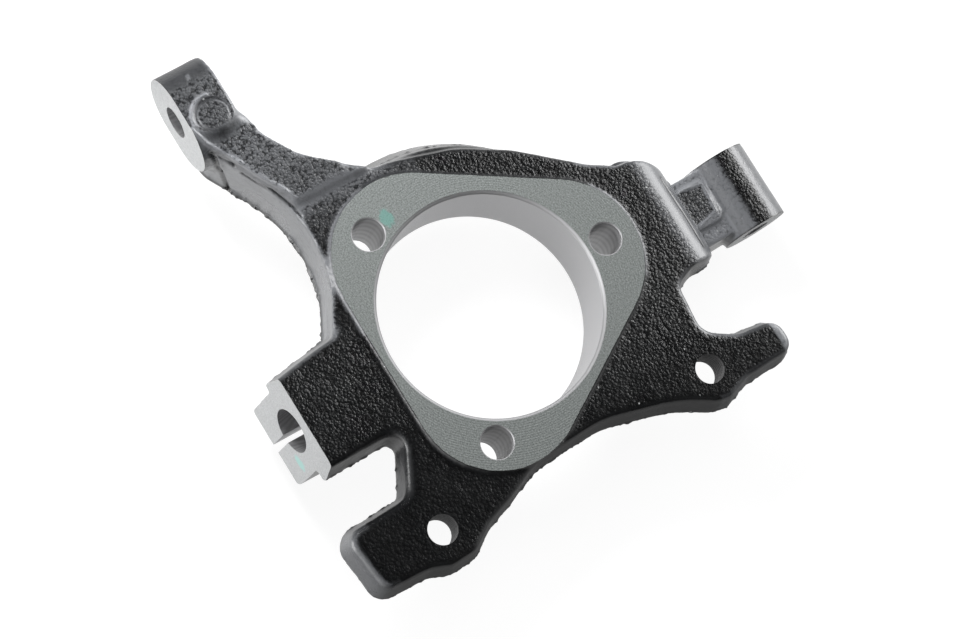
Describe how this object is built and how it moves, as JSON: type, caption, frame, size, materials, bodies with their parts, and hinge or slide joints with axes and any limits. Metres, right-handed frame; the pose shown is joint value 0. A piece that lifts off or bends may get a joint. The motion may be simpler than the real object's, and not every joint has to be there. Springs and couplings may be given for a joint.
{
  "type": "steering knuckle",
  "caption": "Cast steering knuckle: hub bore in a triangular machined face, caliper ears, slotted ball-joint clamp, tie-rod arm and strut mounting",
  "frame": {"origin": "centre of the hub bore on the machined hub face", "axes": "+Z out of the hub face towards the wheel, +Y up the car to the strut, +X to the caliper ears"},
  "size_m": [0.2262, 0.2383, 0.059],
  "materials": {
    "knuckle_casting": "black paint over the cast skin, bare machined faces"
  },
  "bodies": {
    "root": {"knuckle_casting": "knuckle_casting"}
  },
  "joints": []
}
